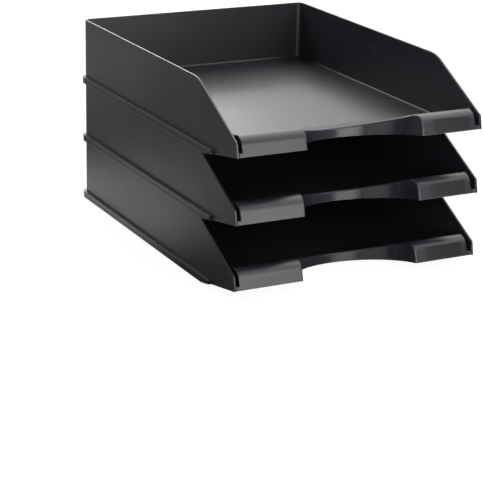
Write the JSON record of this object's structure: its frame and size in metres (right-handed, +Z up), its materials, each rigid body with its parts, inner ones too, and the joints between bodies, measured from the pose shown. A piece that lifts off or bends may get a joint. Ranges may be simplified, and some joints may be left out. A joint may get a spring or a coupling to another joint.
{
  "type": "stack of letter trays",
  "caption": "Open-fronted letter trays stacked rim in skirt, each with sloping side walls, a rounded front lip, a finger scoop and a label field.",
  "frame": {"origin": "middle of the stack's footprint, on the surface it stands on", "axes": "+Y towards the closed back of the trays, so the lip faces -Y; +Z up; +X to the right of someone who faces the lip"},
  "size_m": [0.255, 0.348, 0.1852],
  "materials": {
    "tray_plastic": "black polystyrene, moulded with a fine satin grain"
  },
  "bodies": {
    "tray_bottom": {"tray_bottom": "tray_plastic"},
    "tray_middle": {"tray_middle": "tray_plastic"},
    "tray_top": {"tray_top": "tray_plastic"}
  },
  "joints": [
    {"name": "middle_lift", "type": "slide", "parent": "tray_bottom", "child": "tray_middle", "axis": [0, 0, 1], "range_m": [0, 0.08]},
    {"name": "top_lift", "type": "slide", "parent": "tray_middle", "child": "tray_top", "axis": [0, 0, 1], "range_m": [0, 0.08]}
  ]
}
